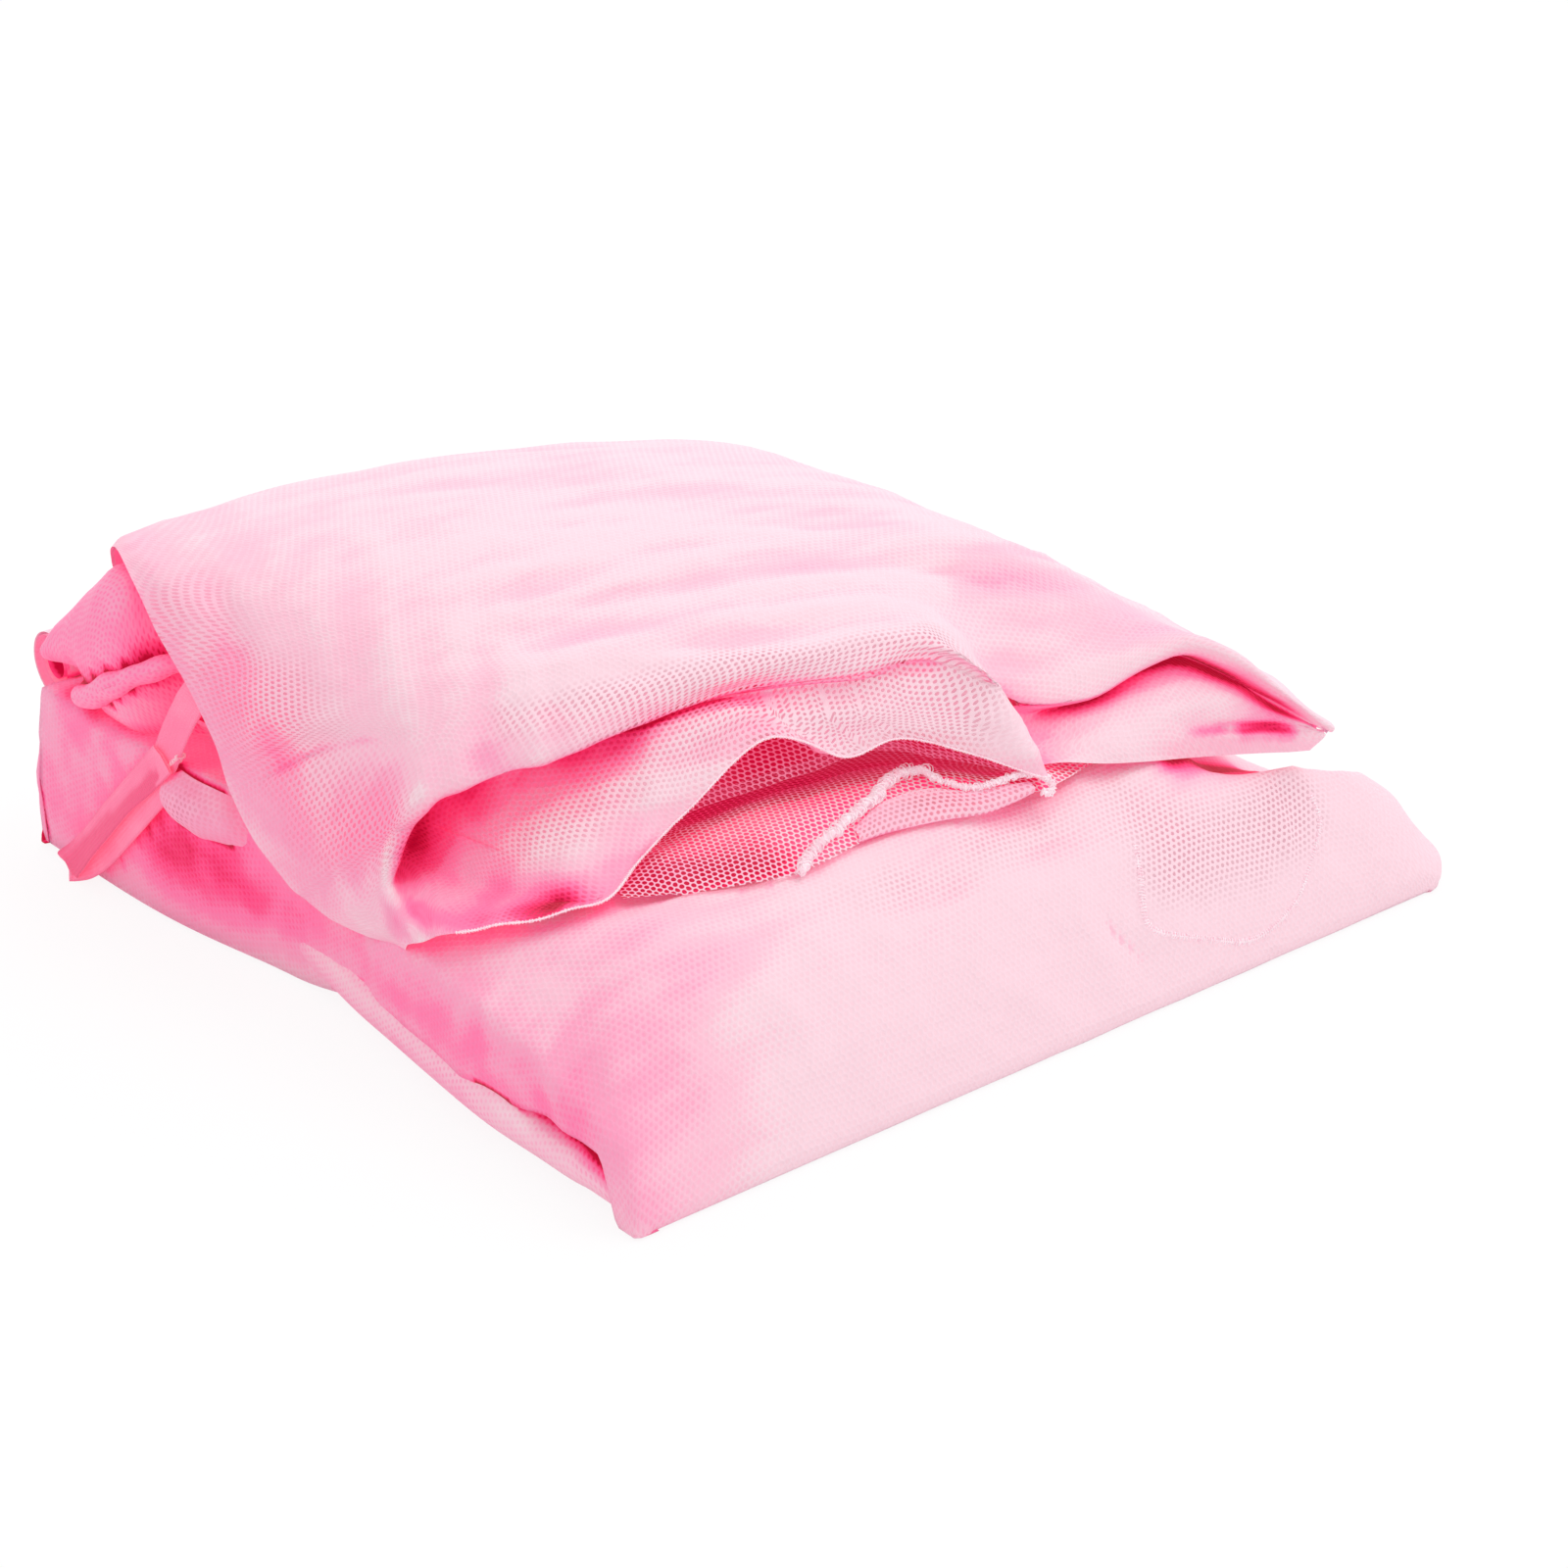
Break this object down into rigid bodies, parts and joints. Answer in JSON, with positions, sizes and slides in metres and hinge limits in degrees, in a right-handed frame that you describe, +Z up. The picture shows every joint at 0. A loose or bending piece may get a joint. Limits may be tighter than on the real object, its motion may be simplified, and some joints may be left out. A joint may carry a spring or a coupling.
{
  "type": "bed canopy",
  "caption": "Folded bed canopy of fine net: pleated lower and upper packs, a turned-back top flap with an arched hem, and a sewn corner hanging loop",
  "frame": {"origin": "on the surface that the bundle lies on, under the middle of the folded bundle", "axes": "+Z up, +X to the right along the straight front fold, +Y to the back fold that the bundle opens on"},
  "size_m": [0.2828, 0.2754, 0.1021],
  "materials": {
    "net": "fine hexagonal knitted net, several layers deep, soft matt sheen",
    "tape": "narrow sewn tape, matt",
    "hem_thread": "overlock stitching in pale thread"
  },
  "bodies": {
    "lower_bundle": {"far_side_curtain": "net", "head_curtain": "net", "foot_curtain": "net", "bottom_hem": "hem_thread", "roof_seam": "net", "corner_loop_2": "tape", "corner_loop_3": "tape", "corner_loop_4": "tape", "bar_tack_1": "hem_thread", "bar_tack_2": "hem_thread", "bar_tack_3": "hem_thread", "bar_tack_4": "hem_thread"},
    "upper_bundle": {"roof_panel": "net", "door_curtain_right": "net", "door_hem_right": "hem_thread"},
    "top_flap": {"door_curtain_left": "net", "door_hem_left": "hem_thread"},
    "corner_loop": {"corner_loop_1": "tape"}
  },
  "joints": [
    {"name": "upper_fold_opens", "type": "hinge", "parent": "lower_bundle", "child": "upper_bundle", "pos_m": [0, 0.1285, 0.049], "axis": [-1, 0, 0], "range_deg": [0, 120]},
    {"name": "top_flap_lifts", "type": "hinge", "parent": "upper_bundle", "child": "top_flap", "pos_m": [0, 0.119, 0.083], "axis": [-1, 0, 0], "range_deg": [0, 55]},
    {"name": "corner_loop_swings", "type": "hinge", "parent": "lower_bundle", "child": "corner_loop", "pos_m": [-0.1349, 0.0616, 0.041], "axis": [0, 0.7488, 0.6628], "range_deg": [0, 110]}
  ]
}
